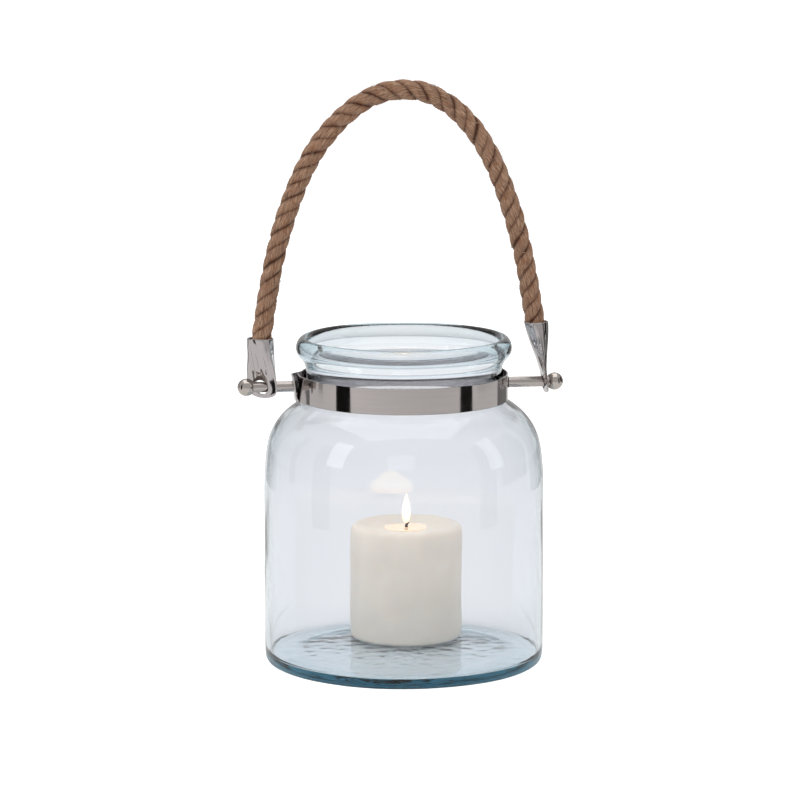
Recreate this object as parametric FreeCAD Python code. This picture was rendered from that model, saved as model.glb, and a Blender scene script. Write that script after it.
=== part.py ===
import FreeCAD, Part
import math
import os

from FreeCAD import Vector

# Mason jar lantern, in millimetres. +Z is up, and the origin is on the jar's axis at its underside.
# The carrying rods lie along X, and the candle stands behind the axis, towards +Y.

# Driving dimensions
OVERALL_WIDTH = 203.2  # over the two ball ends
JAR_HEIGHT = 204.0
BODY_R = 87.0
WALL = 3.0
FLOOR = 7.5  # thick bottom of blown glass
HEEL_R = 3.0
NECK_R = 60.8
NECK_WALL = 3.3
LIP_R = 66.4
SHOULDER_START = 117.0
SHOULDER = (85.7, 132.0)  # (r, z) of the points that the jar's outline passes through
CROWN = (73.7, 157.4)
NECK_FOOT = (62.8, 165.1)
THROAT = (64.6, 192.8)
RIM = (63.6, JAR_HEIGHT - 0.4)
MOUTH = (60.0, JAR_HEIGHT - 1.4)
SHOULDER_IN = (82.7, 131.8)
CROWN_IN = (71.9, 154.9)
NECK_FOOT_IN = (60.2, 163.2)

BAND_R = 64.4
BAND_T = 0.9
BAND_BOTTOM = 165.0
BAND_HEIGHT = 16.0
LAP_HALF = 7.0  # half the length of each flat lap at the band's seam
LAP_OPEN = 14.0  # degrees each side of the seam where the laps leave the circle

ROD_D = 6.6
ROD_Z = 173.9
STUD_D = 4.0
STUD_LENGTH = 5.5
WASHER_D = 7.6
WASHER_T = 0.9
SPACER_T = 1.7
BALL_D = 11.0
HEAD_D = 7.0
HEAD_T = 1.6
SCREW_REACH = 8.0  # how far each screw goes into its rod
THREAD_PLAY = 0.1
SLOT_WIDTH = 1.0
SLOT_DEPTH = 0.8

TAB_WIDTH = 25.0
TAB_T = 2.0
TAB_BELOW = 7.0  # from the hole's centre to the tip of the tab
TAB_CORNER = 3.0  # how much higher the tab's corners are than its tip
HOLE_HEIGHT = 9.0
MOUTH_WIDTH = 17.6
MOUTH_DEPTH = 15.3
TUBE_WALL = 1.0
# Each ferrule: its hole's x and width, the x and z of its mouth's middle, the degrees that its
# flat is turned about Z, and the degrees that its mouth tips about Y
RIGHT_FERRULE = {"hole_x": 88.1, "hole_width": 11.5, "mouth_x": 82.6, "mouth_z": 211.8}
RIGHT_FERRULE |= {"twist": 0, "lean": -8}
LEFT_FERRULE = {"hole_x": -88.3, "hole_width": 12.4, "mouth_x": -89.0, "mouth_z": 204.5}
LEFT_FERRULE |= {"twist": 42, "lean": 4}

ROPE_D = 12.2
ROPE_ROUTE = [
    (-89.0, 198.0),
    (-86.0, 222.0),
    (-80.0, 254.0),
    (-71.0, 287.0),
    (-57.0, 318.0),
    (-36.0, 343.0),
    (-13.0, 356.0),
    (13.0, 356.0),
    (36.0, 342.0),
    (53.5, 317.0),
    (66.0, 286.5),
    (74.5, 254.0),
    (80.0, 224.0),
    (82.9, 205.5),
]

CANDLE_D = 70.0
CANDLE_HEIGHT = 72.0
CANDLE_X = 6.0
CANDLE_Y = 34.5
CANDLE_EDGE = 2.0
DISH_R = 26.0
DISH_DEPTH = 2.5
WICK_D = 2.4
WICK_ABOVE = 5.0
SUSTAINER_D = 22.0
SUSTAINER_T = 0.6
SUSTAINER_NECK_D = 5.0
SUSTAINER_NECK = 6.0
WAX_GAP = 0.1

# Worked out from them
RIGHT_SEAT = BAND_R + WASHER_T
LAP_INNER = BAND_R + BAND_T  # the inner lap's face towards the jar
LAP_OUTER = LAP_INNER + BAND_T + SPACER_T  # the same face of the outer lap
LEFT_SEAT = LAP_OUTER + BAND_T
BALL_R = BALL_D / 2
BALL_FLAT = math.sqrt(BALL_R**2 - (ROD_D / 2) ** 2)  # from the ball's centre to its flat
ROD_LENGTH = (OVERALL_WIDTH - RIGHT_SEAT - LEFT_SEAT) / 2 - BALL_R - BALL_FLAT

X = Vector(1, 0, 0)
Y = Vector(0, 1, 0)
Z = Vector(0, 0, 1)
AXIS = Vector(0, 0, 0)


def solid(shape):
    """The one solid that a boolean left, with its split faces joined."""
    found = shape.removeSplitter().Solids
    if len(found) != 1:
        raise ValueError(f"{len(found)} solids where there is one piece")
    return found[0]


def turned(outline):
    """Revolves a closed outline of lines (two points) and arcs (three points), given as (r, z)."""
    edges = []
    for points in outline:
        at = [Vector(r, 0, z) for r, z in points]
        edges.append(Part.LineSegment(*at).toShape() if len(at) == 2 else Part.Arc(*at).toShape())
    return Part.Face(Part.Wire(edges)).revolve(AXIS, Z, 360)


def glass_jar():
    neck_in = NECK_R - NECK_WALL
    body_in = BODY_R - WALL
    bend = math.sqrt(0.5)
    heel_mid = (BODY_R - HEEL_R * (1 - bend), HEEL_R * (1 - bend))
    well_r = HEEL_R + 1
    well_mid = (body_in - well_r * (1 - bend), FLOOR + well_r * (1 - bend))
    throat_in = (neck_in, 192.0)
    return turned(
        [
            [(0, 0), (BODY_R - HEEL_R, 0)],
            [(BODY_R - HEEL_R, 0), heel_mid, (BODY_R, HEEL_R)],
            [(BODY_R, HEEL_R), (BODY_R, SHOULDER_START)],
            [(BODY_R, SHOULDER_START), SHOULDER],
            [SHOULDER, (81.4, 147.0), CROWN],
            [CROWN, NECK_FOOT],
            [NECK_FOOT, (61.4, 166.3), (NECK_R, 168.2)],
            [(NECK_R, 168.2), (NECK_R, 186.5)],
            [(NECK_R, 186.5), (61.9, 190.2), THROAT],
            [THROAT, (LIP_R, 197.6), RIM],
            [RIM, (61.8, JAR_HEIGHT), MOUTH],
            [MOUTH, (58.3, 198.0), throat_in],
            [throat_in, (neck_in, 168.6)],
            [(neck_in, 168.6), (57.9, 165.3), NECK_FOOT_IN],
            [NECK_FOOT_IN, CROWN_IN],
            [CROWN_IN, (78.6, 145.7), SHOULDER_IN],
            [SHOULDER_IN, (body_in, 116.8)],
            [(body_in, 116.8), (body_in, FLOOR + well_r)],
            [(body_in, FLOOR + well_r), well_mid, (body_in - well_r, FLOOR)],
            [(body_in - well_r, FLOOR), (0, FLOOR)],
            [(0, FLOOR), (0, 0)],
        ]
    )


def strip(points):
    """The band's strip bent at each of these (x, y) points, one band thickness thick."""
    shape = None
    for start, end in zip(points, points[1:]):
        along = Vector(end[0] - start[0], end[1] - start[1], 0)
        run = Part.makeBox(along.Length, BAND_T, BAND_HEIGHT, Vector(0, -BAND_T / 2, BAND_BOTTOM))
        run.rotate(AXIS, Z, math.degrees(math.atan2(along.y, along.x)))
        run.translate(Vector(start[0], start[1], 0))
        bend = Part.makeCylinder(BAND_T / 2, BAND_HEIGHT, Vector(start[0], start[1], BAND_BOTTOM))
        shape = run.fuse(bend) if shape is None else shape.fuse([run, bend])
    return shape


def neck_band():
    """A loop of strip round the neck. Its two ends leave the circle at -X and lie flat, the rear one
    outside the other, where the left rod's screw goes through them."""
    start, sweep = 180 + LAP_OPEN, 360 - 2 * LAP_OPEN
    low = Vector(0, 0, BAND_BOTTOM)
    loop = Part.makeCylinder(BAND_R, BAND_HEIGHT, low, Z, sweep)
    loop = loop.cut(Part.makeCylinder(BAND_R - BAND_T, BAND_HEIGHT, low, Z, sweep))
    loop.rotate(AXIS, Z, start)
    middle_r = BAND_R - BAND_T / 2
    laps = []
    for lap_x, side in ((LAP_INNER, -1), (LAP_OUTER, 1)):
        leave = math.radians(180 - side * LAP_OPEN)
        x = -(lap_x + BAND_T / 2)
        laps.append(
            strip(
                [
                    (middle_r * math.cos(leave), middle_r * math.sin(leave)),
                    (x, side * LAP_HALF),
                    (x, -side * LAP_HALF),
                ]
            )
        )
    shank = STUD_D + THREAD_PLAY
    hole = Part.makeCylinder(shank / 2, 2 * OVERALL_WIDTH, Vector(-OVERALL_WIDTH, 0, ROD_Z), X)
    return solid(loop.fuse(laps).cut(hole))


def along_rod(radius, start, length, side):
    """A cylinder on the rods' axis. side is 1 on the right and -1 on the left."""
    return Part.makeCylinder(radius, length, Vector(side * start, 0, ROD_Z), X * side)


def washer(start, thickness, side):
    hole = along_rod((STUD_D + THREAD_PLAY) / 2, start, thickness, side)
    return along_rod(WASHER_D / 2, start, thickness, side).cut(hole)


def pivot_rod(seat, side):
    """Tapped at the band's end, with a stud for the ball at the other."""
    rod = along_rod(ROD_D / 2, seat, ROD_LENGTH, side)
    stud = along_rod(STUD_D / 2, seat + ROD_LENGTH, STUD_LENGTH, side)
    tapped = along_rod((STUD_D + THREAD_PLAY) / 2, seat, SCREW_REACH + 1, side)
    return solid(rod.fuse(stud).cut(tapped))


def ball_end(seat, side):
    """A ball with a flat that meets the rod's end, and a bore for its stud."""
    flat = seat + ROD_LENGTH
    ball = Part.makeSphere(BALL_R, Vector(side * (flat + BALL_FLAT), 0, ROD_Z))
    ball = ball.common(along_rod(BALL_R, flat, BALL_D, side))
    return solid(ball.cut(along_rod((STUD_D + THREAD_PLAY) / 2, flat, STUD_LENGTH + 0.5, side)))


def rod_screw(under_head, seat, side):
    """A pan head inside the band, with its shank through into the rod, and a slot across it."""
    head = along_rod(HEAD_D / 2, under_head - HEAD_T, HEAD_T, side)
    shank = along_rod(STUD_D / 2, under_head, seat - under_head + SCREW_REACH, side)
    slot_x = side * (under_head - HEAD_T) - (SLOT_DEPTH if side < 0 else 0)
    corner = Vector(slot_x, -HEAD_D / 2, ROD_Z - SLOT_WIDTH / 2)
    slot = Part.makeBox(SLOT_DEPTH, HEAD_D, SLOT_WIDTH, corner)
    return solid(head.fuse(shank).cut(slot))


def oval(half_width, half_depth, centre, twist, lean):
    wire = Part.Wire(Part.Ellipse(AXIS, half_width, half_depth).toShape())
    wire.rotate(AXIS, Z, 90 + twist)
    wire.rotate(AXIS, Y, lean)
    wire.translate(centre)
    return wire


def rope_ferrule(hole_x, mouth_x, mouth_z, twist, lean, hole_width):
    """A tube crushed flat at its lower end, with an oval hole that hangs on the rod. twist turns
    the flat tab about Z, and lean tips the open mouth about Y. The tab faces along X untwisted."""
    rise, shift = mouth_z - ROD_Z, mouth_x - hole_x
    # share of the way up, half width, half depth
    stages = [
        (0.10, TAB_WIDTH / 2, TAB_T / 2),
        (0.35, 11.6, 2.9),
        (0.68, 10.0, 5.9),
        (1.00, MOUTH_WIDTH / 2, MOUTH_DEPTH / 2),
    ]
    outside, inside = [], []
    for share, half_width, half_depth in stages:
        centre = Vector(shift * share, 0, rise * share)
        tip = lean * share
        outside.append(oval(half_width, half_depth, centre, twist, tip))
        if half_depth > 2 * TUBE_WALL:
            in_width, in_depth = half_width - TUBE_WALL, half_depth - TUBE_WALL
            inside.append(oval(in_width, in_depth, centre, twist, tip))
    out_of_mouth = inside[-1].copy()
    out_of_mouth.translate(Vector(shift, 0, rise).normalize() * 3)
    inside.append(out_of_mouth)
    half = TAB_WIDTH / 2
    corner_z, top_z = TAB_CORNER - TAB_BELOW, 0.22 * rise
    corners = [
        Vector(0, half, corner_z),
        Vector(0, half, top_z),
        Vector(0, -half, top_z),
        Vector(0, -half, corner_z),
    ]
    edges = [Part.LineSegment(a, b).toShape() for a, b in zip(corners, corners[1:])]
    edges.append(Part.Arc(corners[-1], Vector(0, 0, -TAB_BELOW), corners[0]).toShape())
    tab = Part.Face(Part.Wire(edges)).extrude(X * TAB_T)
    tab.translate(X * (-TAB_T / 2))
    rim = Part.Ellipse(AXIS, hole_width / 2, HOLE_HEIGHT / 2).toShape()
    hole = Part.Face(Part.Wire(rim)).extrude(Z * MOUTH_DEPTH)
    hole.translate(Z * (-MOUTH_DEPTH / 2))
    hole.rotate(AXIS, Vector(1, 1, 1), 120)  # X to Y, Y to Z and Z to X
    for piece in (tab, hole):
        piece.rotate(AXIS, Z, twist)
    tube = Part.makeLoft(outside, True).fuse(tab)
    ferrule = solid(tube.cut([Part.makeLoft(inside, True), hole]))
    ferrule.translate(Vector(hole_x, 0, ROD_Z))
    return ferrule


def rope_handle():
    """A tube along the rope's route: straight runs, with each corner rounded by an arc as large
    as its two runs allow."""
    route = [Vector(x, 0, z) for x, z in ROPE_ROUTE]
    edges, here, radii = [], route[0], []
    for before, corner, after in zip(route, route[1:], route[2:]):
        back, on = before - corner, after - corner
        half_turn = (math.pi - back.getAngle(on)) / 2
        reach = 0.45 * min(back.Length, on.Length)
        radii.append(reach / math.tan(half_turn))
        back.normalize()
        on.normalize()
        start, end = corner + back * reach, corner + on * reach
        inward = (back + on).normalize()
        middle = corner + inward * (radii[-1] / math.cos(half_turn) - radii[-1])
        edges.append(Part.LineSegment(here, start).toShape())
        edges.append(Part.Arc(start, middle, end).toShape())
        here = end
    edges.append(Part.LineSegment(here, route[-1]).toShape())
    spine = Part.Wire(edges)
    section = Part.Wire(Part.makeCircle(ROPE_D / 2, route[0], route[1] - route[0]))
    rope = spine.makePipeShell([section], True, False)
    print("rope's radii", [round(r, 1) for r in radii])
    print("rope's length", round(spine.Length, 1))
    full = math.pi * ROPE_D**2 / 4 * spine.Length
    print("volume over section times length", round(rope.Volume / full, 4))
    return rope


def pillar_candle():
    """A wax cylinder with worn edges, a shallow dish in its top, and a bore for its wick."""
    r, top = CANDLE_D / 2, CANDLE_HEIGHT
    foot = SUSTAINER_D / 2 + WAX_GAP
    collar = SUSTAINER_NECK_D / 2 + WAX_GAP
    bore = WICK_D / 2 + WAX_GAP
    plate_top = SUSTAINER_T + WAX_GAP
    collar_top = plate_top + SUSTAINER_NECK
    worn = CANDLE_EDGE * (1 - math.sqrt(0.5))
    candle = turned(
        [
            [(foot, 0), (r - 1, 0)],
            [(r - 1, 0), (r, 1)],
            [(r, 1), (r, top - CANDLE_EDGE)],
            [(r, top - CANDLE_EDGE), (r - worn, top - worn), (r - CANDLE_EDGE, top)],
            [(r - CANDLE_EDGE, top), (DISH_R, top)],
            [(DISH_R, top), (DISH_R - 9, top - 0.75 * DISH_DEPTH), (bore, top - DISH_DEPTH)],
            [(bore, top - DISH_DEPTH), (bore, collar_top)],
            [(bore, collar_top), (collar, collar_top)],
            [(collar, collar_top), (collar, plate_top)],
            [(collar, plate_top), (foot, plate_top)],
            [(foot, plate_top), (foot, 0)],
        ]
    )
    return candle


def wick_sustainer():
    """The tin plate under the candle, with the crimped collar that holds the wick."""
    plate = Part.makeCylinder(SUSTAINER_D / 2, SUSTAINER_T)
    collar = Part.makeCylinder(SUSTAINER_NECK_D / 2, SUSTAINER_NECK, Z * SUSTAINER_T)
    wick = Part.makeCylinder(WICK_D / 2, SUSTAINER_NECK, Z * SUSTAINER_T)
    return solid(plate.fuse(collar).cut(wick))


def candle_wick():
    length = CANDLE_HEIGHT - DISH_DEPTH + WICK_ABOVE - SUSTAINER_T
    return Part.makeCylinder(WICK_D / 2, length, Z * SUSTAINER_T)


def main():
    pieces = {"glass_jar": glass_jar(), "neck_band": neck_band()}
    pieces["right_washer"] = washer(BAND_R, WASHER_T, 1)
    pieces["left_lap_spacer"] = washer(LAP_INNER + BAND_T, SPACER_T, -1)
    chord = math.sqrt((BAND_R - BAND_T) ** 2 - (HEAD_D / 2) ** 2)  # where a flat head meets the loop
    for name, side, seat, under_head in (
        ("right", 1, RIGHT_SEAT, chord),
        ("left", -1, LEFT_SEAT, LAP_INNER),
    ):
        pieces[f"{name}_pivot_rod"] = pivot_rod(seat, side)
        pieces[f"{name}_ball_end"] = ball_end(seat, side)
        pieces[f"{name}_rod_screw"] = rod_screw(under_head, seat, side)
    pieces["right_rope_ferrule"] = rope_ferrule(**RIGHT_FERRULE)
    pieces["left_rope_ferrule"] = rope_ferrule(**LEFT_FERRULE)
    pieces["rope_handle"] = rope_handle()
    for name, make in (
        ("pillar_candle", pillar_candle),
        ("wick_sustainer", wick_sustainer),
        ("candle_wick", candle_wick),
    ):
        pieces[name] = make()
        pieces[name].translate(Vector(CANDLE_X, CANDLE_Y, FLOOR))

    os.makedirs("parts", exist_ok=True)
    for name, shape in pieces.items():
        if not shape.isValid() or len(shape.Solids) != 1:
            raise ValueError(f"{name} isn't one valid solid")
        shape.exportStep(f"parts/{name}.step")
        print(name, round(shape.Volume), round(shape.BoundBox.XMin, 1), round(shape.BoundBox.XMax, 1))


main()
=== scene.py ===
import math
import random

import bpy
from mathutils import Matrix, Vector


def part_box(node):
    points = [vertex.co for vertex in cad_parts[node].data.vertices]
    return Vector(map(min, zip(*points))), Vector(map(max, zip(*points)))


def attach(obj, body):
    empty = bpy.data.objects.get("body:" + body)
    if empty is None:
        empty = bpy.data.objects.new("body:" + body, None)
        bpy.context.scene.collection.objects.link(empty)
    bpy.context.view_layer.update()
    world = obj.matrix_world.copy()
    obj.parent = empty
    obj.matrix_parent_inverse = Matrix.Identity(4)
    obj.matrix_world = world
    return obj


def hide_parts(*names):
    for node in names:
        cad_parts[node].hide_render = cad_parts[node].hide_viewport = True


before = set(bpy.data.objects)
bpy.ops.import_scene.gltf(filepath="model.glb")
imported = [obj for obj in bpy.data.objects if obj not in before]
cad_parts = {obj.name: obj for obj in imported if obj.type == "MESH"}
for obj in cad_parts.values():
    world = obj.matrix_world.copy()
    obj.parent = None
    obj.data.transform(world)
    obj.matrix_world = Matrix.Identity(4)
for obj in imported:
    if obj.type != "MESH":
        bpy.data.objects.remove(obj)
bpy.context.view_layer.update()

MM = 0.001

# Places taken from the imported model
JAR_HIGH = Vector(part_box("glass_jar")[1])
BAND_LOW, BAND_HIGH = (Vector(corner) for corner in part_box("neck_band"))
CANDLE_LOW, CANDLE_HIGH = (Vector(corner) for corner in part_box("pillar_candle"))
ROD_LOW, ROD_HIGH = (Vector(corner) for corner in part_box("right_pivot_rod"))
ROD_Z = (ROD_LOW.z + ROD_HIGH.z) / 2
CANDLE_MIDDLE = (CANDLE_LOW + CANDLE_HIGH) / 2
WICK_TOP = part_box("candle_wick")[1][2]

CAMERA_TURN = 7.5  # degrees round from square on, towards the left
CAMERA_TIP = 9.26  # degrees below level
CAMERA_DISTANCE = 2.282
CAMERA_HEIGHT = 0.536

FLOOR_SEEN_GLOW = 0.62  # the floor paper's own light, where it is looked at directly
FLOOR_THROUGH_GLOW = 0.07  # and where it is looked at through glass
AIR_LIGHT = 0.62  # the air's light on the pieces
AIR_SEEN = 1.0  # and where it is looked at, directly or through glass


# ---------------------------------------------------------------- camera and stage


def set_camera():
    """Looks slightly down, from a little to the left of square on."""
    tip, turn = math.radians(CAMERA_TIP), math.radians(CAMERA_TURN)
    place = (-CAMERA_DISTANCE * math.sin(turn), -CAMERA_DISTANCE * math.cos(turn), CAMERA_HEIGHT)
    bpy.ops.object.camera_add(location=place, rotation=(math.pi / 2 - tip, 0, -turn))
    camera = bpy.context.object
    camera.data.sensor_width = 36
    camera.data.lens = 168
    camera.data.shift_x = -0.0049
    camera.data.clip_end = 100
    bpy.context.scene.camera = camera
    bpy.context.scene.view_settings.view_transform = "Standard"


def softbox(name, place, aim, size, power, mirrored=False):
    """A broad lamp; only where mirrored is true does it show in the steel and the glass."""
    bpy.ops.object.light_add(type="AREA", location=place)
    lamp = bpy.context.object
    lamp.name = name
    lamp.rotation_euler = (Vector(aim) - Vector(place)).to_track_quat("-Z", "Y").to_euler()
    lamp.data.shape = "RECTANGLE"
    lamp.data.size, lamp.data.size_y = size
    lamp.data.energy = power
    lamp.visible_glossy = mirrored


def studio_card(name, bearing, distance, size, shade):
    """An upright card on the floor that shows only in reflections. bearing is in degrees round
    from straight towards the camera, positive to the camera's right."""
    angle = math.radians(bearing - CAMERA_TURN)
    place = (distance * math.sin(angle), -distance * math.cos(angle), size[1] / 2)
    bpy.ops.mesh.primitive_plane_add(size=1, location=place, rotation=(math.pi / 2, 0, angle))
    card = bpy.context.object
    card.name = name
    card.scale = (size[0], size[1], 1)
    card.visible_camera = False
    card.visible_diffuse = False
    card.visible_shadow = False
    card.visible_transmission = False
    material, _ = plain(name, shade, 1.0)
    card.data.materials.append(material)


def plain(name, shade, roughness):
    """A dull grey for the stage; gives the material and its surface."""
    material = bpy.data.materials.new(name)
    material.use_nodes = True
    surface = material.node_tree.nodes["Principled BSDF"]
    surface.inputs["Base Color"].default_value = (shade, shade, shade, 1)
    surface.inputs["Roughness"].default_value = roughness
    surface.inputs["Specular IOR Level"].default_value = 0.1
    return material, surface


def set_floor():
    """White paper, lit from below where it is looked at directly or through glass."""
    bpy.ops.mesh.primitive_plane_add(size=60)
    floor = bpy.context.object
    floor.name = "studio_floor"
    material, surface = plain("studio_floor_paper", 0.9, 0.9)
    tree = material.node_tree
    rays = tree.nodes.new("ShaderNodeLightPath")
    glows = []
    for ray, glow in (
        ("Is Camera Ray", FLOOR_SEEN_GLOW),
        ("Is Transmission Ray", FLOOR_THROUGH_GLOW),
    ):
        node = tree.nodes.new("ShaderNodeMath")
        node.operation = "MULTIPLY"
        node.inputs[1].default_value = glow
        tree.links.new(rays.outputs[ray], node.inputs[0])
        glows.append(node)
    both = tree.nodes.new("ShaderNodeMath")
    tree.links.new(glows[0].outputs["Value"], both.inputs[0])
    tree.links.new(glows[1].outputs["Value"], both.inputs[1])
    surface.inputs["Emission Color"].default_value = (1, 1, 1, 1)
    tree.links.new(both.outputs["Value"], surface.inputs["Emission Strength"])
    floor.data.materials.append(material)


def set_air():
    """Even light from all round, and white wherever it is looked at."""
    world = bpy.data.worlds.new("studio_air")
    world.use_nodes = True
    tree = world.node_tree
    tree.nodes["Background"].inputs["Color"].default_value = (1, 1, 1, 1)
    rays = tree.nodes.new("ShaderNodeLightPath")
    level = tree.nodes.new("ShaderNodeMapRange")
    level.inputs["To Min"].default_value = AIR_LIGHT
    level.inputs["To Max"].default_value = AIR_SEEN
    either = tree.nodes.new("ShaderNodeMath")
    either.operation = "MAXIMUM"
    tree.links.new(rays.outputs["Is Transmission Ray"], either.inputs[0])
    tree.links.new(rays.outputs["Is Camera Ray"], either.inputs[1])
    tree.links.new(either.outputs["Value"], level.inputs["Value"])
    tree.links.new(level.outputs["Result"], tree.nodes["Background"].inputs["Strength"])
    bpy.context.scene.world = world


def set_stage():
    """White paper, soft lamps, and dark cards for the steel and the lip to mirror."""
    set_floor()
    set_air()
    middle = (0, 0, 0.17)
    softbox("top_softbox", (0, 0.15, 1.7), middle, (1.8, 1.8), 11, True)
    softbox("left_softbox", (-1.8, -0.7, 1.1), middle, (0.6, 1.2), 8)
    softbox("right_softbox", (1.9, -0.4, 0.9), middle, (0.5, 1.2), 4)
    softbox("front_softbox", (-0.5, -2.4, 1.3), middle, (1.0, 1.0), 5)
    studio_card("left_black_flag", -67, 0.55, (0.17, 0.5), 0.01)
    studio_card("right_black_flag", 69, 0.55, (0.15, 0.5), 0.015)
    studio_card("left_side_flag", -102, 1.2, (0.16, 0.9), 0.05)
    studio_card("right_side_flag", 102, 1.2, (0.7, 0.9), 0.04)
    studio_card("left_rear_flag", -138, 0.7, (0.35, 0.6), 0.25)
    studio_card("right_rear_flag", 138, 0.7, (0.4, 0.6), 0.25)


# ---------------------------------------------------------------- finishes

# The sockets of a Mix node that is set to mix colours
MIX_SHARE, MIX_FIRST, MIX_SECOND = 0, 6, 7
MIX_RESULT = 2


def finish(name):
    """A new finish: its material, its nodes and its main surface."""
    material = bpy.data.materials.new(name)
    material.use_nodes = True
    tree = material.node_tree
    return material, tree, tree.nodes["Principled BSDF"]


def grain(tree, scale, stretch=(1, 1, 1), detail=4, roughness=0.5, source="Object"):
    """A noise pattern on the piece's own coordinates; gives its height socket."""
    place = tree.nodes.new("ShaderNodeTexCoord")
    fit = tree.nodes.new("ShaderNodeMapping")
    fit.inputs["Scale"].default_value = stretch
    noise = tree.nodes.new("ShaderNodeTexNoise")
    noise.inputs["Scale"].default_value = scale
    noise.inputs["Detail"].default_value = detail
    noise.inputs["Roughness"].default_value = roughness
    tree.links.new(place.outputs[source], fit.inputs["Vector"])
    tree.links.new(fit.outputs["Vector"], noise.inputs["Vector"])
    return noise.outputs["Fac"]


def ramp(tree, height, stops):
    """Colours, or greys given as one number, along a pattern's height."""
    node = tree.nodes.new("ShaderNodeValToRGB")
    while len(node.color_ramp.elements) < len(stops):
        node.color_ramp.elements.new(0.5)
    for stop, (place, colour) in zip(node.color_ramp.elements, stops):
        stop.position = place
        stop.color = (*colour, 1) if isinstance(colour, tuple) else (colour, colour, colour, 1)
    tree.links.new(height, node.inputs["Fac"])
    return node.outputs["Color"]


def mixed(tree, share, first, second, how="MIX"):
    """Mixes two colours, each a socket or a plain colour; gives the mixed colour's socket."""
    node = tree.nodes.new("ShaderNodeMix")
    node.data_type = "RGBA"
    node.blend_type = how
    for number, given in ((MIX_SHARE, share), (MIX_FIRST, first), (MIX_SECOND, second)):
        if isinstance(given, bpy.types.NodeSocket):
            tree.links.new(given, node.inputs[number])
        else:
            node.inputs[number].default_value = given
    return node.outputs[MIX_RESULT]


def up_the_piece(tree, low, high, at_low=0.0, at_high=1.0):
    """A value that goes from at_low to at_high as the piece rises from low to high."""
    place = tree.nodes.new("ShaderNodeTexCoord")
    split = tree.nodes.new("ShaderNodeSeparateXYZ")
    reach = tree.nodes.new("ShaderNodeMapRange")
    reach.inputs["From Min"].default_value = low
    reach.inputs["From Max"].default_value = high
    reach.inputs["To Min"].default_value = at_low
    reach.inputs["To Max"].default_value = at_high
    tree.links.new(place.outputs["Object"], split.inputs["Vector"])
    tree.links.new(split.outputs["Z"], reach.inputs["Value"])
    return reach.outputs["Result"]


def bump(tree, surface, height, strength, distance):
    """Raises the surface by a pattern, over any bump that it has already."""
    node = tree.nodes.new("ShaderNodeBump")
    node.inputs["Strength"].default_value = strength
    node.inputs["Distance"].default_value = distance
    tree.links.new(height, node.inputs["Height"])
    if surface.inputs["Normal"].is_linked:
        tree.links.new(surface.inputs["Normal"].links[0].from_socket, node.inputs["Normal"])
    tree.links.new(node.outputs["Normal"], surface.inputs["Normal"])


def blown_glass():
    """Clear glass with a blue-green body that shows only where it is thick. Light passes straight
    through it on its way to the floor and the candle."""
    material, tree, surface = finish("blown_glass")
    surface.inputs["Transmission Weight"].default_value = 1
    surface.inputs["IOR"].default_value = 1.47
    surface.inputs["Roughness"].default_value = 0
    tint = ramp(tree, grain(tree, 14), [(0.3, (0.967, 0.952, 0.975)), (0.7, (0.986, 0.971, 0.989))])
    tree.links.new(tint, surface.inputs["Base Color"])
    bump(tree, surface, grain(tree, 26, (1, 1, 0.45), 2), 0.25, 0.0016)
    output = tree.nodes["Material Output"]
    clear = tree.nodes.new("ShaderNodeBsdfTransparent")
    clear.inputs["Color"].default_value = (0.97, 0.98, 0.985, 1)
    rays = tree.nodes.new("ShaderNodeLightPath")
    either = tree.nodes.new("ShaderNodeMixShader")
    tree.links.new(rays.outputs["Is Shadow Ray"], either.inputs["Fac"])
    tree.links.new(surface.outputs["BSDF"], either.inputs[1])
    tree.links.new(clear.outputs["BSDF"], either.inputs[2])
    tree.links.new(either.outputs["Shader"], output.inputs["Surface"])
    body = tree.nodes.new("ShaderNodeVolumeAbsorption")
    body.inputs["Color"].default_value = (0.0, 0.43, 0.545, 1)
    body.inputs["Density"].default_value = 22
    tree.links.new(body.outputs["Volume"], output.inputs["Volume"])
    return material


def steel(name, shade, roughness, brushing, depth):
    """Polished steel; brushing stretches its fine lines along the piece."""
    material, tree, surface = finish(name)
    surface.inputs["Metallic"].default_value = 1
    fine = grain(tree, 1, brushing, 6, 0.65)
    light = tuple(min(1.0, channel * 1.08) for channel in shade)
    tree.links.new(ramp(tree, fine, [(0.3, shade), (0.7, light)]), surface.inputs["Base Color"])
    smears = ramp(tree, grain(tree, 60, (1, 1, 1), 5), [(0.35, roughness), (0.75, roughness * 1.9)])
    tree.links.new(smears, surface.inputs["Roughness"])
    bump(tree, surface, fine, depth, 0.0002)
    return material


def dark_fibre():
    """Nearly black, with faint lighter flecks."""
    material, tree, surface = finish("dark_fibre")
    flecks = ramp(tree, grain(tree, 900), [(0.3, (0.012, 0.01, 0.01)), (0.8, (0.05, 0.045, 0.04))])
    tree.links.new(flecks, surface.inputs["Base Color"])
    surface.inputs["Roughness"].default_value = 0.7
    return material


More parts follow.
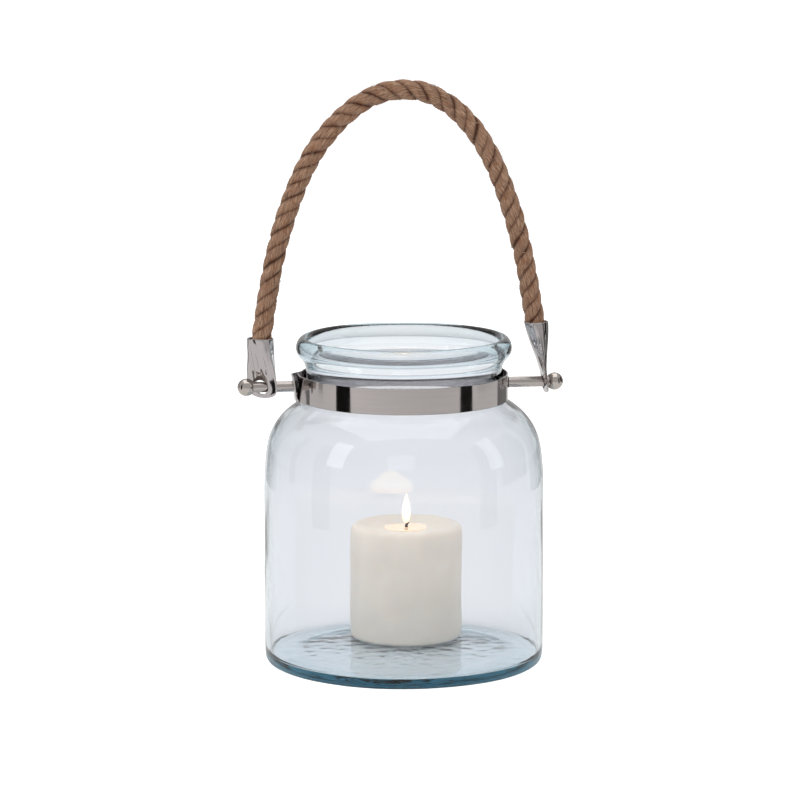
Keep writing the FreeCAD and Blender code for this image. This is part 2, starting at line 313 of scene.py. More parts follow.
def jute(name, dark, mid, light, twisted=False):
    """Plant fibre with lighter and rusty patches. Twisted into rope, it has fine lines along each
    yarn, and painted shade darkening the grooves where two strands meet."""
    material, tree, surface = finish(name)
    lines = grain(tree, 1, (2.6, 34, 1), 6, 0.78, "UV") if twisted else grain(tree, 300)
    colour = ramp(tree, lines, [(0.36, dark), (0.5, mid), (0.64, light)])
    rust = ramp(tree, grain(tree, 170, (1, 1, 1), 3), [(0.53, 0.0), (0.7, 0.75)])
    colour = mixed(tree, rust, colour, (0.34, 0.15, 0.07, 1))
    if twisted:
        # Painted shade: each strand darkens towards the grooves where it meets the next
        colour = mixed(tree, 1, colour, painted_groove_shade(tree), "MULTIPLY")
    tree.links.new(colour, surface.inputs["Base Color"])
    surface.inputs["Roughness"].default_value = 0.85
    surface.inputs["Specular IOR Level"].default_value = 0.25
    surface.inputs["Sheen Weight"].default_value = 0.25
    surface.inputs["Sheen Roughness"].default_value = 0.4
    surface.inputs["Sheen Tint"].default_value = (0.9, 0.75, 0.62, 1)
    bump(tree, surface, lines, 1.0, 0.0014)
    return material


def painted_groove_shade(tree):
    """Painted shade: white on a strand's outer side and a warm dark towards its inner side, unevenly.
    """
    depth = tree.nodes.new("ShaderNodeUVMap")
    depth.uv_map = "groove"
    split = tree.nodes.new("ShaderNodeSeparateXYZ")
    tree.links.new(depth.outputs["UV"], split.inputs["Vector"])
    uneven = tree.nodes.new("ShaderNodeMath")
    uneven.operation = "MULTIPLY_ADD"
    uneven.inputs[1].default_value = 0.26
    tree.links.new(grain(tree, 150, (1, 1, 1), 3), uneven.inputs[0])
    tree.links.new(split.outputs["X"], uneven.inputs[2])
    painted_shade_stops = [
        (0.69, (0.20, 0.12, 0.09)), (0.75, (0.50, 0.42, 0.38)),
        (0.83, (0.80, 0.77, 0.75)), (0.93, (1, 1, 1)),
    ]
    return ramp(tree, uneven.outputs["Value"], painted_shade_stops)


def candle_wax(low, high):
    """Cream wax, slightly scuffed, with a painted warm glow towards its top, standing in for the
    flame's light in it.
    """
    material, tree, surface = finish("candle_wax")
    cloud = grain(tree, 45, (1, 1, 1), 5)
    cream = ramp(tree, cloud, [(0.3, (0.68, 0.615, 0.54)), (0.7, (0.75, 0.69, 0.61))])
    tree.links.new(cream, surface.inputs["Base Color"])
    surface.subsurface_method = "RANDOM_WALK"
    surface.inputs["Subsurface Weight"].default_value = 0.5
    surface.inputs["Subsurface Radius"].default_value = (1.0, 0.65, 0.4)
    surface.inputs["Subsurface Scale"].default_value = 0.006
    # Painted glow: a warm emission, from none at the foot to a little at the top, stands in for the
    # flame's light
    surface.inputs["Emission Color"].default_value = (1.0, 0.80, 0.60, 1)
    glow = up_the_piece(tree, low, high, 0.0, 0.13)
    tree.links.new(glow, surface.inputs["Emission Strength"])
    scuffs = ramp(tree, grain(tree, 120), [(0.3, 0.38), (0.7, 0.6)])
    tree.links.new(scuffs, surface.inputs["Roughness"])
    bump(tree, surface, grain(tree, 160, (1, 1, 0.3), 4), 0.35, 0.0006)
    return material


def melted_wax():
    """The wet, warm pool round the wick, with a painted orange glow standing in for the flame's light
    in it.
    """
    material, tree, surface = finish("melted_wax")
    warm = ramp(tree, grain(tree, 90), [(0.3, (0.90, 0.64, 0.40)), (0.7, (0.94, 0.72, 0.50))])
    tree.links.new(warm, surface.inputs["Base Color"])
    surface.inputs["Roughness"].default_value = 0.08
    surface.inputs["Coat Weight"].default_value = 0.6
    surface.inputs["Coat Roughness"].default_value = 0.03
    # Painted glow: a faint orange emission stands in for the flame's light in the pool
    surface.inputs["Emission Color"].default_value = (1.0, 0.55, 0.22, 1)
    surface.inputs["Emission Strength"].default_value = 0.25
    bump(tree, surface, grain(tree, 200), 0.2, 0.0004)
    return material


def charred_wick():
    """Burnt cotton, nearly black."""
    material, tree, surface = finish("charred_wick")
    weave = grain(tree, 1500, (1, 1, 0.4))
    char = ramp(tree, weave, [(0.3, (0.01, 0.008, 0.007)), (0.8, (0.07, 0.05, 0.04))])
    tree.links.new(char, surface.inputs["Base Color"])
    surface.inputs["Roughness"].default_value = 0.9
    return material


def tin_plate():
    return steel("tin_plate", (0.62, 0.62, 0.63), 0.3, (300, 300, 300), 0.1)


def candle_flame(low, high):
    """An orange skirt and a pale body, fading towards its edge."""
    material, tree, surface = finish("candle_flame")
    tree.nodes.remove(surface)
    skirt, body = (1.0, 0.62, 0.3), (1.0, 0.85, 0.6)
    stops = [(0.0, (1.0, 0.55, 0.3)), (0.16, skirt), (0.4, body), (1.0, (1.0, 0.70, 0.38))]
    colour = ramp(tree, up_the_piece(tree, low, high), stops)
    glow = tree.nodes.new("ShaderNodeEmission")
    glow.inputs["Strength"].default_value = 3.2
    tree.links.new(colour, glow.inputs["Color"])
    air = tree.nodes.new("ShaderNodeBsdfTransparent")
    edge = tree.nodes.new("ShaderNodeLayerWeight")
    edge.inputs["Blend"].default_value = 0.35
    mix = tree.nodes.new("ShaderNodeMixShader")
    tree.links.new(edge.outputs["Facing"], mix.inputs["Fac"])
    tree.links.new(glow.outputs["Emission"], mix.inputs[1])
    tree.links.new(air.outputs["BSDF"], mix.inputs[2])
    tree.links.new(mix.outputs["Shader"], tree.nodes["Material Output"].inputs["Surface"])
    return material


# ---------------------------------------------------------------- shaping by hand


def deselect():
    bpy.ops.object.select_all(action="DESELECT")


def pick(piece):
    """Selects one piece and nothing else."""
    deselect()
    piece.select_set(True)
    bpy.context.view_layer.objects.active = piece


def edit():
    bpy.ops.object.mode_set(mode="EDIT")


def done():
    bpy.ops.object.mode_set(mode="OBJECT")


def pick_points(piece, wanted):
    """Leaves selected, in edit mode, the points of which wanted(place) is true."""
    bpy.ops.mesh.select_mode(type="VERT")
    bpy.ops.mesh.select_all(action="DESELECT")
    done()
    for point in piece.data.vertices:
        point.select = bool(wanted(point.co))
    edit()


def put(piece, kind, **settings):
    """Adds a modifier and applies it."""
    pick(piece)
    modifier = piece.modifiers.new(kind.title(), kind)
    for name, value in settings.items():
        setattr(modifier, name, value)
    bpy.ops.object.modifier_apply(modifier=modifier.name)


def smooth(piece, angle=None):
    """Shades a piece smooth, all over or up to an edge angle in degrees."""
    pick(piece)
    if angle is None:
        bpy.ops.object.shade_smooth()
    else:
        bpy.ops.object.shade_smooth_by_angle(angle=math.radians(angle))


def line_of_points(name, places):
    """One point at the first place, extruded on through the others; left in edit mode."""
    deselect()
    bpy.ops.mesh.primitive_plane_add(size=0.001)
    piece = bpy.context.object
    piece.name = name
    edit()
    bpy.ops.mesh.select_all(action="SELECT")
    bpy.ops.mesh.merge(type="CENTER")
    here = Vector((0, 0, 0))
    for number, place in enumerate(places):
        step = tuple(Vector(place) - here)
        if number:
            bpy.ops.mesh.extrude_vertices_move(TRANSFORM_OT_translate={"value": step})
        else:
            bpy.ops.transform.translate(value=step)
        here = Vector(place)
    return piece


def turned(name, outline, steps=96, middle=(0, 0)):
    """Spins an outline of (radius, height) about a vertical line through middle."""
    cx, cy = middle
    piece = line_of_points(name, [(cx + r, cy, z) for r, z in outline])
    bpy.ops.mesh.select_all(action="SELECT")
    bpy.ops.mesh.spin(steps=steps, angle=math.tau, center=(cx, cy, 0), axis=(0, 0, 1))
    bpy.ops.mesh.select_all(action="SELECT")
    bpy.ops.mesh.remove_doubles(threshold=0.00002)
    bpy.ops.mesh.normals_make_consistent(inside=False)
    done()
    return piece


def waver(piece, size, amount, along="RGB_TO_XYZ"):
    """Moves a piece's points by a soft cloud, as hand work leaves them."""
    cloud = bpy.data.textures.new(f"{piece.name}_waver", "CLOUDS")
    cloud.noise_scale = size
    cloud.noise_depth = 1
    cloud.cloud_type = "COLOR"
    put(piece, "DISPLACE", texture=cloud, strength=amount, mid_level=0.5, direction=along)


def join(name, pieces):
    """Makes several pieces into one."""
    pick(pieces[0])
    for piece in pieces[1:]:
        piece.select_set(True)
    if len(pieces) > 1:
        bpy.ops.object.join()
    whole = bpy.context.object
    whole.name = name
    return whole


def settle(piece, body, slot, material, *nodes):
    """Gives a finished piece its finish, its body and the nodes that it stands for."""
    pick(piece)
    bpy.ops.object.transform_apply(location=True, rotation=True, scale=True)
    piece.data.materials.clear()
    piece.data.materials.append(material)
    if nodes:
        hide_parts(*nodes)
    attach(piece, body)
    return piece


# ---------------------------------------------------------------- rope handle

ROPE_D = 12.2 * MM
ROPE_ROUTE = [
    (-89.0, 198.0),
    (-86.0, 222.0),
    (-80.0, 254.0),
    (-71.0, 287.0),
    (-57.0, 318.0),
    (-36.0, 343.0),
    (-13.0, 356.0),
    (13.0, 356.0),
    (36.0, 342.0),
    (53.5, 317.0),
    (66.0, 286.5),
    (74.5, 254.0),
    (80.0, 224.0),
    (82.9, 205.5),
]
ROPE_STEP = 1.0 * MM  # between two rings of a strand's points
LAY_LENGTH = 30.5 * MM  # one full turn of a strand
YARN_TURN = -15.0 * MM  # one full turn of the yarns inside a strand, the other way
YARNS = 9  # ridges round one strand
STRANDS = 3
STRAND_START = 0.6  # the first strand's turn where the rope begins, in radians
STRAND_OUT = 2.95 * MM  # from the rope's middle to a strand's middle
STRAND_HALF_DEPTH = 3.3 * MM
STRAND_HALF_WIDTH = 3.95 * MM
STRAND_AROUND = 54  # points round one strand
FIBRE_ENDS = 16  # no loose fibre is rooted this near an end, in steps
FIBRE_BENDS = 5


def rope_line():
    """Points along the smooth line that the rope's route controls."""
    curve = bpy.data.curves.new("rope_line", "CURVE")
    curve.dimensions = "3D"
    curve.resolution_u = 40
    spline = curve.splines.new("NURBS")
    spline.points.add(len(ROPE_ROUTE) - 1)
    for point, (x, z) in zip(spline.points, ROPE_ROUTE):
        point.co = (x * MM, 0, z * MM, 1)
    spline.order_u = 3
    spline.use_endpoint_u = True
    holder = bpy.data.objects.new("rope_line", curve)
    mesh = bpy.data.meshes.new_from_object(holder)
    line = [v.co.copy() for v in mesh.vertices]
    bpy.data.meshes.remove(mesh)
    bpy.data.objects.remove(holder)
    bpy.data.curves.remove(curve)
    return line


def even(line, step):
    """The line again, with its points evenly spaced."""
    gaps = [(b - a).length for a, b in zip(line, line[1:])]
    total = sum(gaps)
    count = round(total / step)
    found, at, index = [], 0.0, 0
    for number in range(count + 1):
        want = total * number / count
        while index < len(gaps) - 1 and at + gaps[index] < want:
            at += gaps[index]
            index += 1
        share = min(1.0, (want - at) / gaps[index])
        found.append(line[index].lerp(line[index + 1], share))
    return found, total / count


def along_line(line, index):
    """The line's direction at a point, and two directions across it."""
    before, after = line[max(index - 1, 0)], line[min(index + 1, len(line) - 1)]
    ahead = (after - before).normalized()
    across = Vector((0, 1, 0))
    return ahead, across.cross(ahead), across


def strand_points(line, step, start, dice):
    """Rings of points along one strand, with the ridges of its yarns and a lay that is not quite
    even. The lengths that along is divided by are those of the unevenness, in metres."""
    wander = [dice.uniform(0, math.tau) for _ in range(4)]
    slope = math.tau * STRAND_OUT / LAY_LENGTH
    points = []
    for index in range(len(line)):
        along = index * step
        ahead, out, across = along_line(line, index)
        turn = start + math.tau * along / LAY_LENGTH
        turn += 0.13 * math.sin(along / 0.021 + wander[0])
        turn += 0.05 * math.sin(along / 0.0083 + wander[3])
        spoke = out * math.cos(turn) + across * math.sin(turn)
        sideways = (across * math.cos(turn) - out * math.sin(turn)).normalized()
        run = (ahead + sideways * slope).normalized()
        side = run.cross(spoke).normalized()
        fat = 1 + 0.045 * math.sin(along / 0.009 + wander[1])
        fat += 0.03 * math.sin(along / 0.0041 + wander[2])
        for number in range(STRAND_AROUND):
            angle = math.tau * number / STRAND_AROUND
            yarn = angle - math.tau * along / YARN_TURN
            swell = 0.6 + 0.4 * math.sin(along / 0.013 + 2 * yarn + wander[0])
            ridge = 1 + 0.065 * swell * math.cos(YARNS * yarn + wander[3])
            ridge += dice.uniform(-0.012, 0.012)
            place = line[index] + spoke * STRAND_OUT
            place += spoke * math.cos(angle) * STRAND_HALF_DEPTH * fat * ridge
            place += side * math.sin(angle) * STRAND_HALF_WIDTH * fat * ridge
            points.append(place)
    return points


def strand(name, line, step, start, seed):
    """One strand as a closed tube. One of its UV maps wraps its yarns; the other, "groove", goes
    from 0.85 on its outer side to 0 on its inner side, and places the painted groove shade."""
    around, rings = STRAND_AROUND, len(line) - 1
    faces, spots = [], []
    for index in range(rings):
        for number in range(around):
            a, b = index * around + number, index * around + (number + 1) % around
            faces.append((a, b, b + around, a + around))
            spots.append((index, number))
    last = rings * around
    faces.append(tuple(range(around - 1, -1, -1)))
    faces.append(tuple(range(last, last + around)))
    mesh = bpy.data.meshes.new(name)
    mesh.from_pydata(strand_points(line, step, start, random.Random(seed)), [], faces)
    wrap = mesh.uv_layers.new(name="strand_wrap")
    depth = mesh.uv_layers.new(name="groove")
    for face, (index, number) in zip(mesh.polygons, spots):
        corners = ((index, number), (index, number + 1), (index + 1, number + 1), (index + 1, number))
        for loop, (ring, spot) in zip(face.loop_indices, corners):
            along = ring * step
            outward = 0.425 + 0.425 * math.cos(math.tau * spot / around)
            wrap.data[loop].uv = (along / 0.02, spot / around - along / YARN_TURN + seed)
            depth.data[loop].uv = (outward, seed / 4)
    piece = bpy.data.objects.new(name, mesh)
    bpy.context.scene.collection.objects.link(piece)
    return piece


def fibres(name, line, dice, count, thickness, lengths, lift, slant):
    """Loose fibres along the rope: each a bent thread, rooted in its surface. lift is how steeply
    they stand off and slant how far they run along it."""
    curve = bpy.data.curves.new(name, "CURVE")
    curve.dimensions = "3D"
    curve.bevel_depth = thickness
    curve.bevel_resolution = 0
    curve.resolution_u = 4
    for _ in range(count):
        index = dice.randrange(FIBRE_ENDS, len(line) - FIBRE_ENDS)
        ahead, out, across = along_line(line, index)
        turn = dice.uniform(0, math.tau)
        lean = dice.choice((-1, 1)) * dice.uniform(*slant)
        length = dice.uniform(*lengths) * MM
        round_about = dice.choice((-1, 1)) * length * dice.uniform(0.4, 1.0) / (ROPE_D / 2)
        spline = curve.splines.new("NURBS")
        spline.points.add(FIBRE_BENDS)
        for number, point in enumerate(spline.points):
            share = number / FIBRE_BENDS
            angle = turn + round_about * share
            spoke = out * math.cos(angle) + across * math.sin(angle)
            height = ROPE_D * 0.47 + lift * length * math.sin(share * 2.4)
            place = line[index] + spoke * height + ahead * lean * length * share
            point.co = (*place, 1)
        spline.order_u = 3
        spline.use_endpoint_u = True
    piece = bpy.data.objects.new(name, curve)
    bpy.context.scene.collection.objects.link(piece)
    pick(piece)
    bpy.ops.object.convert(target="MESH")
    return bpy.context.object


def make_rope():
    """Three laid strands, and the loose fibres on them, between the two ferrules."""
    line, step = even(rope_line(), ROPE_STEP)
    strands = []
    for number in range(STRANDS):
        start = STRAND_START + math.tau * number / STRANDS
        strands.append(strand(f"strand_{number + 1}", line, step, start, number + 1))
    rope = join("rope", strands)
    smooth(rope)
    fibre = jute("jute_rope", (0.13, 0.06, 0.034), (0.38, 0.21, 0.135), (0.78, 0.52, 0.34), True)
    settle(rope, "handle", "jute_rope", fibre, "rope_handle")
    dice = random.Random(7)
    hairs = join(
        "rope_stray_fibres",
        [
            fibres("fine_fibres", line, dice, 420, 0.06 * MM, (1.5, 5), 0.35, (0.1, 0.9)),
            fibres("coarse_fibres", line, dice, 110, 0.17 * MM, (5, 12), 0.05, (0.2, 0.8)),
        ],
    )
    hair = jute("jute_hair", (0.16, 0.10, 0.07), (0.36, 0.24, 0.16), (0.66, 0.48, 0.34))
    settle(hairs, "handle", "jute_rope", hair)


# ---------------------------------------------------------------- glass jar

OUTLINE_HEIGHT = 0.204  # of the jar that the two outlines below draw
# Radius and height in mm: outside from the foot's middle up to the lip, then inside from the lip
# down to the floor's middle
JAR_OUTSIDE = [
    (0, 1.4), (40, 1.1), (70, 0.5), (79, 0), (83, 0.1), (85.6, 1.2), (86.9, 4), (87, 12), (86.9, 40),
    (87, 70), (86.9, 98), (86.9, 113), (86.4, 123), (85.5, 132.5), (84, 140.5), (81.6, 146.6),
    (78.2, 152), (73.8, 157), (68.6, 161), (64.4, 163.6), (61.9, 165.8), (60.9, 168.8),
    (60.7, 175), (60.7, 182), (61.0, 186.0), (62.4, 189.2), (64.7, 191.6), (66.6, 194.2),
    (67.1, 197.2), (66.4, 200.6), (64.5, 203.2), (62.1, 204),
]
JAR_INSIDE = [
    (60.2, 203), (59, 200.8), (58.6, 197.6), (58.3, 194), (57.7, 190.4), (57.3, 184), (57.3, 176),
    (57.5, 169.5), (58.6, 165.6), (61.2, 162.6), (66, 159), (71.4, 154.8), (75.4, 150),
    (78.6, 144.4), (81, 138), (82.5, 130.5), (83.5, 121), (83.9, 108), (84, 80), (83.9, 50),
    (84, 24), (84, 11.5), (83.9, 8.8), (83.5, 7.6), (82.9, 6.9), (81.9, 6.5), (78, 6.6), (73, 7.1),
    (66, 7.1), (58, 7.1), (50, 7.1), (42, 7.1), (34, 7.1), (25, 7.1), (16, 7.1), (8, 7.1), (0, 7.1),
]
FLOOR_LOW, FLOOR_HIGH = 6 * MM, 8 * MM  # the floor's upper surface lies between these
RIPPLE_R = 62 * MM
RIPPLE_DEPTH = 0.6 * MM


def make_jar():
    """Spun glass with a rolled lip, uneven walls and a rippled floor."""
    tall = JAR_HIGH.z / OUTLINE_HEIGHT
    outline = [(r * MM, z * MM * tall) for r, z in JAR_OUTSIDE + JAR_INSIDE]
    jar = turned("blown_jar", outline, steps=72)
    put(jar, "SUBSURF", levels=2, render_levels=2)
    ripple_floor(jar)
    waver(jar, 0.075, 0.9 * MM)
    smooth(jar)
    settle(jar, "jar", "blown_glass", blown_glass(), "glass_jar")


def ripple_floor(jar):
    """Small waves in the glass, over the middle of the floor."""
    pick(jar)
    edit()
    pick_points(
        jar, lambda place: FLOOR_LOW < place.z < FLOOR_HIGH and place.xy.length < RIPPLE_R
    )
    done()
    bpy.ops.object.vertex_group_add()
    edit()
    bpy.ops.object.vertex_group_assign()
    done()
    ripple = bpy.data.textures.new("floor_ripple", "CLOUDS")
    ripple.noise_scale = 0.008
    ripple.noise_depth = 2
    put(
        jar, "DISPLACE", texture=ripple, strength=RIPPLE_DEPTH, mid_level=0.75, direction="Z",
        vertex_group=jar.vertex_groups.active.name,
    )


# ---------------------------------------------------------------- neck band and rods

BAND_T = 0.9 * MM
LAP_HALF = 7 * MM
LAP_OUT = 1.8 * MM  # how far the front end stands out from the strap's circle
LAP_OPEN = 14  # degrees each side of the seam
STRAP_STEPS = 104  # round the neck
STRAP_LEVELS = 4  # up its height


def make_band():
    """A strap bent round the neck, its rear end lapped outside its front end at the left."""
    height = BAND_HIGH.z - BAND_LOW.z
    middle_r = BAND_HIGH.x - BAND_T / 2
    outer_x = BAND_LOW.x + BAND_T / 2
    inner_x = -middle_r - LAP_OUT
    low = BAND_LOW.z
    places = [(outer_x, -LAP_HALF, low), (outer_x, LAP_HALF, low)]
    for step in range(STRAP_STEPS + 1):
        angle = math.radians(180 - LAP_OPEN - (360 - 2 * LAP_OPEN) * step / STRAP_STEPS)
        places.append((middle_r * math.cos(angle), middle_r * math.sin(angle), low))
    places += [(inner_x, -LAP_HALF, low), (inner_x, LAP_HALF, low)]
    band = line_of_points("bent_strap", places)
    bpy.ops.mesh.select_all(action="SELECT")
    rise = (0, 0, height / STRAP_LEVELS)
    for _ in range(STRAP_LEVELS):
        bpy.ops.mesh.extrude_edges_move(TRANSFORM_OT_translate={"value": rise})
    bpy.ops.mesh.select_all(action="SELECT")
    bpy.ops.mesh.normals_make_consistent(inside=False)
    for level in range(STRAP_LEVELS + 1):
        share = level / STRAP_LEVELS
        here = low + height * share
        for lap_x, lean in ((outer_x, 1.0 - 1.9 * share), (inner_x, -0.1 + 0.6 * share)):
            pick_points(
                band,
                lambda place: abs(place.z - here) < 0.1 * MM and abs(place.x - lap_x) < 0.9 * MM,
            )
            bpy.ops.transform.translate(value=(lean * MM, 0, 0))
    done()
    put(band, "BEVEL", width=1.6 * MM, segments=4, limit_method="ANGLE", angle_limit=math.radians(12))
    put(band, "SOLIDIFY", thickness=BAND_T, offset=0)
    put(band, "BEVEL", width=0.22 * MM, segments=2, limit_method="ANGLE", angle_limit=math.radians(50))
    waver(band, 0.035, 0.25 * MM)
    smooth(band, 20)
    brushed = steel("strap_steel", (0.42, 0.385, 0.375), 0.06, (30, 30, 900), 0.03)
    settle(band, "band", "strap_steel", brushed, "neck_band")


def refinish(material, *names):
    """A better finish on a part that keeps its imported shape."""
    for name in names:
        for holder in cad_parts[name].material_slots:
            holder.material = material


# In mm
BALL_R = 5.5
BALL_FLAT = 4.4  # from the ball's centre to its flat
BALL_NECK = [(0, 0), (3.3, 0), (3.5, 0.15), (3.55, 0.4)]  # radius, and height above the flat
BALL_FIRST = -46  # degrees, where the ball starts above its neck
BALL_RINGS = 14


def make_ball(name, material, node, side):
    """A polished ball that runs into a short neck where it meets its rod."""
    low, high = (Vector(corner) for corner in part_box(node))
    centre = high.x - BALL_R * MM if side > 0 else low.x + BALL_R * MM
    outline = [(r, -BALL_FLAT + z) for r, z in BALL_NECK]
    for ring in range(BALL_RINGS + 1):
        angle = math.radians(BALL_FIRST + (90 - BALL_FIRST) * ring / BALL_RINGS)
        outline.append((BALL_R * math.cos(angle), BALL_R * math.sin(angle)))
    outline[-1] = (0, BALL_R)
    ball = turned(name, [(r * MM, z * MM) for r, z in outline], 64)
    smooth(ball, 40)
    ball.rotation_euler.y = side * math.pi / 2
    ball.location = (centre, 0, ROD_Z)
    settle(ball, "band", "polished_steel", material, node)


def finish_rods():
    """The rods, their balls and screws, the washer and spacer, and the tin under the wick."""
    turned_steel = steel("turned_steel", (0.44, 0.40, 0.38), 0.08, (1600, 40, 40), 0.05)
    bright_steel = steel("bright_steel", (0.48, 0.435, 0.40), 0.04, (260, 260, 260), 0.02)
    refinish(turned_steel, "left_pivot_rod", "right_pivot_rod", "left_rod_screw", "right_rod_screw")
    make_ball("left_ball", bright_steel, "left_ball_end", -1)
    make_ball("right_ball", bright_steel, "right_ball_end", 1)
    refinish(dark_fibre(), "right_washer", "left_lap_spacer")
    refinish(tin_plate(), "wick_sustainer")


# ---------------------------------------------------------------- rope ferrules

TAB_BELOW = 7 * MM  # from the rod's middle to the tab's end
TAB_HALF = 12.5 * MM
TAB_HALF_T = 1.1 * MM
TAB_ROUND = 3  # how far the tab's end is rounded, in mm
TAB_DROPS = (1.3, 2.3, 2.9)  # levels down that rounding, in mm
MOUTH_HALF_WIDTH = 8.8 * MM
MOUTH_HALF_DEPTH = 7.65 * MM
TUBE_WALL = 1.0 * MM
TUBE_INSIDE = ((0.05, 1.0), (0.2, 0.94), (0.12, 0.8))  # each level's depth and narrowing
HOLE_HALF_HEIGHT = 4.5 * MM
# Down the crushed tube: share of the way up, half its depth and half its width, in mm
CRUSHING = [
    (0.97, 7.6, 8.8), (0.86, 7.1, 9.2), (0.70, 6.0, 9.9), (0.54, 4.6, 10.7), (0.40, 3.2, 11.4),
    (0.28, 2.1, 12.0), (0.17, 1.4, 12.3), (0.08, 1.15, 12.5), (0.0, 1.1, 12.5), (-0.10, 1.1, 12.5),
]


def fold(piece, angle, first, last, depth, top, stages):
    """Presses a line along the crushed tube inwards, between two shares of the way up it. angle
    is where the line starts on the round mouth, in degrees."""

    def on_fold(place):
        at = place.z / top[2]
        x, y = place.x - top[0] * at, place.y - top[1] * at
        _, deep, wide = min(stages, key=lambda stage: abs(stage[0] - at))
        off = math.degrees(math.atan2(y / wide, x / deep)) - angle
        return first < at < last and abs((off + 180) % 360 - 180) < 3

    pick_points(piece, on_fold)
    across = math.radians(angle)
    push = (-math.cos(across) * depth, -math.sin(across) * depth * 0.4, 0)
    bpy.ops.transform.translate(value=push)


def drill_tab(piece, hole_width):
    """The long hole by which a ferrule hangs on its rod."""
    deselect()
    bpy.ops.mesh.primitive_cylinder_add(vertices=64, radius=1, depth=1, rotation=(0, math.pi / 2, 0))
    drill = bpy.context.object
    bpy.ops.object.transform_apply(rotation=True)
    drill.scale = (20 * MM, hole_width * MM / 2, HOLE_HALF_HEIGHT)
    pick(drill)
    bpy.ops.object.transform_apply(scale=True)
    put(piece, "BOOLEAN", object=drill, operation="DIFFERENCE", solver="EXACT")
    bpy.data.objects.remove(drill)


def ferrule(name, hole_x, mouth, twist, hole_width, creases, node, material):
    """A tube crushed flat at its foot. It is shaped with the flat facing along X, from the mouth
    down, and then twisted about Z and put on its rod."""
    rise = mouth[1] * MM - ROD_Z
    shift = (mouth[0] - hole_x) * MM
    lean_x, lean_y = shift * math.cos(twist), -shift * math.sin(twist)
    deselect()
    bpy.ops.mesh.primitive_circle_add(vertices=48, radius=1, location=(lean_x, lean_y, rise))
    piece = bpy.context.object
    piece.name = name
    bpy.ops.object.transform_apply(location=True)
    edit()
    bpy.ops.mesh.select_all(action="SELECT")
    half_depth, half_width, share = MOUTH_HALF_DEPTH, MOUTH_HALF_WIDTH, 1.0
    bpy.ops.transform.resize(value=(half_depth, half_width, 1), center_override=(lean_x, lean_y, rise))
    stages = [(at, deep * MM, wide * MM) for at, deep, wide in CRUSHING]
    end_r = (TAB_HALF**2 + (TAB_ROUND * MM) ** 2) / (2 * TAB_ROUND * MM)
    for drop in TAB_DROPS:
        wide = math.sqrt(end_r**2 - (end_r - (TAB_ROUND - drop) * MM) ** 2)
        stages.append(((TAB_ROUND * MM - TAB_BELOW - drop * MM) / rise, TAB_HALF_T, wide))
    for at, deep, wide in stages:
        move = (lean_x * (at - share), lean_y * (at - share), rise * (at - share))
        bpy.ops.mesh.extrude_edges_move(TRANSFORM_OT_translate={"value": move})
        centre = (lean_x * at, lean_y * at, rise * at)
        bpy.ops.transform.resize(
            value=(deep / half_depth, wide / half_width, 1), center_override=centre
        )
        half_depth, half_width, share = deep, wide, at
    bpy.ops.mesh.edge_face_add()
    for angle, first, last, depth in creases:
        fold(piece, angle, first, last, depth * MM, (lean_x, lean_y, rise), stages)
    pick_points(piece, lambda place: place.z > rise * 0.985)
    bpy.ops.mesh.edge_face_add()
    bpy.ops.mesh.inset(thickness=TUBE_WALL)
    for deeper, narrow in TUBE_INSIDE:
        move = (-lean_x * deeper, -lean_y * deeper, -rise * deeper)
        bpy.ops.mesh.extrude_region_move(TRANSFORM_OT_translate={"value": move})
        bpy.ops.transform.resize(value=(narrow, 1, 1))
    bpy.ops.mesh.select_all(action="SELECT")
    bpy.ops.mesh.normals_make_consistent(inside=False)
    done()
    put(piece, "SUBSURF", levels=2, render_levels=2)
    drill_tab(piece, hole_width)
    put(piece, "BEVEL", width=0.25 * MM, segments=2, limit_method="ANGLE", angle_limit=math.radians(50))
    waver(piece, 0.009, 0.5 * MM)
    smooth(piece, 40)
    piece.rotation_euler.z = twist
    piece.location = (hole_x * MM, 0, ROD_Z)
    settle(piece, "handle", "polished_steel", material, node)


def make_ferrules():
    """Each crease is where it starts on the mouth, in degrees, the two shares of the way up that it
    runs between, and its depth in mm."""
    crushed = steel("crushed_steel", (0.46, 0.43, 0.425), 0.08, (420, 420, 30), 0.06)
    left_creases = (
        (-150, 0.3, 0.8, 1.3), (180, 0.3, 0.7, 1.1), (157.5, 0.2, 0.8, 1.2), (-120, 0.3, 0.99, 0.6),
        (-30, 0.3, 0.8, 1.1), (15, 0.25, 0.8, 1.1), (45, 0.3, 0.8, 1.0),
    )
    right_creases = (
        (-105, 0.1, 0.8, 1.4), (-82.5, 0.1, 0.99, 0.8), (-60, 0.1, 0.8, 1.3), (-135, 0.2, 0.8, 1.2),
        (90, 0.1, 0.8, 1.3), (60, 0.2, 0.8, 1.1), (120, 0.2, 0.8, 1.1),
    )
    ferrule(
        "left_ferrule", -88.3, (-89.0, 204.5), math.radians(42), 12.4, left_creases,
        "left_rope_ferrule", crushed,
    )
    ferrule(
        "right_ferrule", 88.1, (82.6, 211.8), 0, 11.5, right_creases,
        "right_rope_ferrule", crushed,
    )


# ---------------------------------------------------------------- candle

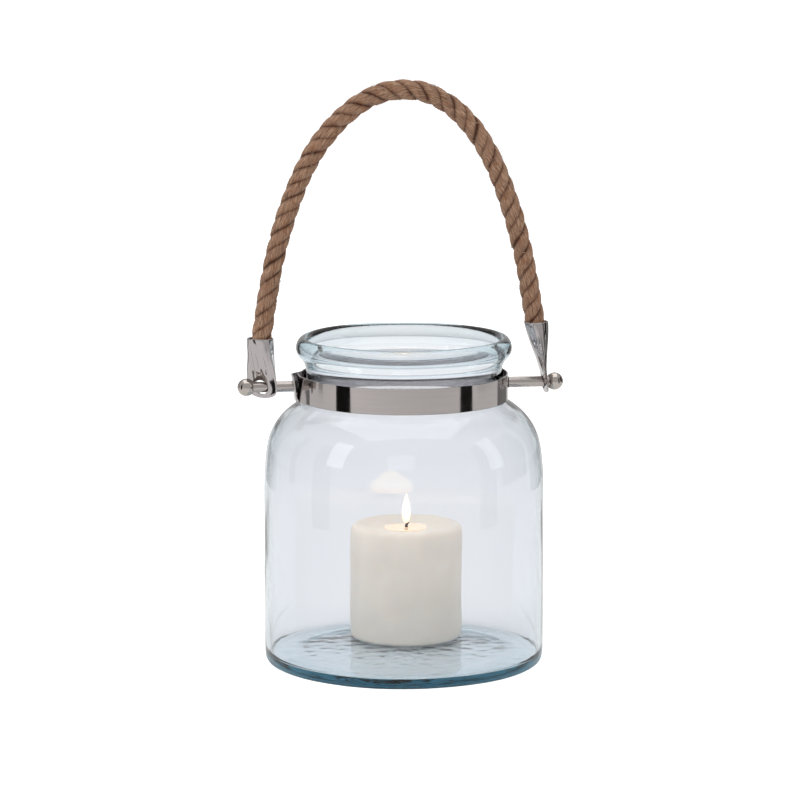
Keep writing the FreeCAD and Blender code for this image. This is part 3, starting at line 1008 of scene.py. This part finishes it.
# Radius and height above the candle's foot, in mm; the flame's are above the wick's top
CANDLE_OUTLINE = [
    (0, -0.4), (30, -0.4), (33.9, 0), (35.2, 1.2), (35.5, 4), (35.45, 20), (35.4, 45), (35.5, 62),
    (35.4, 67), (34.8, 70.4), (33.3, 72.2), (31, 72.6), (28, 72.2), (24, 71.0), (17, 69.9),
    (8, 69.6), (0, 69.5),
]
POOL_OUTLINE = [(0, 69.0), (13.6, 69.3), (14.6, 69.85), (13.8, 70.1), (9, 70.0), (0, 69.95)]
FLAME_OUTLINE = [
    (0, -2.2), (1.2, -1.6), (2.2, 0.6), (2.75, 3.6), (2.6, 7.2), (1.9, 10.8), (1.0, 14), (0.35, 16),
    (0, 16.8),
]
WICK_R = 1.15 * MM
WICK_NARROWING = 0.93  # at each step
WICK_STEPS = ((0.0, 68.0), (0.1, 1.4), (0.2, 1.2), (0.4, 1.0), (0.6, 0.7))  # sideways and up, in mm


def above_foot(outline, foot):
    """An outline in metres, from one in mm above a height."""
    return [(r * MM, foot + z * MM) for r, z in outline]


def make_candle():
    """The pillar, its melted pool, its wick and its flame."""
    middle = (CANDLE_MIDDLE.x, CANDLE_MIDDLE.y)
    foot = CANDLE_LOW.z
    pillar = turned("pillar", above_foot(CANDLE_OUTLINE, foot), 72, middle)
    put(pillar, "SUBSURF", levels=2, render_levels=2)
    waver(pillar, 0.02, 0.7 * MM)
    smooth(pillar)
    settle(pillar, "candle", "candle_wax", candle_wax(foot, CANDLE_HIGH.z), "pillar_candle")
    pool = turned("melt_pool", above_foot(POOL_OUTLINE, foot), 48, middle)
    put(pool, "SUBSURF", levels=2, render_levels=2)
    waver(pool, 0.012, 1.2 * MM)
    smooth(pool)
    settle(pool, "candle", "candle_wax", melted_wax())
    make_wick(middle, foot)
    flame = turned("flame", above_foot(FLAME_OUTLINE, WICK_TOP), 32, middle)
    put(flame, "SUBSURF", levels=2, render_levels=2)
    smooth(flame)
    settle(flame, "candle", "candle_flame", candle_flame(WICK_TOP - 2 * MM, WICK_TOP + 17 * MM))


def make_wick(middle, foot):
    """A braided cord, drawn up from the wax and bent over at its burnt tip."""
    low = foot + 1 * MM
    deselect()
    bpy.ops.mesh.primitive_circle_add(vertices=12, radius=WICK_R, location=(*middle, low))
    wick = bpy.context.object
    wick.name = "wick"
    bpy.ops.object.transform_apply(location=True)
    edit()
    bpy.ops.mesh.select_all(action="SELECT")
    bpy.ops.mesh.edge_face_add()
    for sideways, up in WICK_STEPS:
        move = (sideways * MM, 0, min(up * MM, WICK_TOP - low))
        bpy.ops.mesh.extrude_region_move(TRANSFORM_OT_translate={"value": move})
        bpy.ops.transform.resize(value=(WICK_NARROWING, WICK_NARROWING, 1))
    bpy.ops.mesh.select_all(action="SELECT")
    bpy.ops.mesh.normals_make_consistent(inside=False)
    done()
    put(wick, "SUBSURF", levels=2, render_levels=2)
    waver(wick, 0.0012, 0.5 * MM)
    smooth(wick)
    settle(wick, "candle", "cotton_wick", charred_wick(), "candle_wick")


set_camera()
make_rope()
make_jar()
make_band()
finish_rods()
make_ferrules()
make_candle()
set_stage()
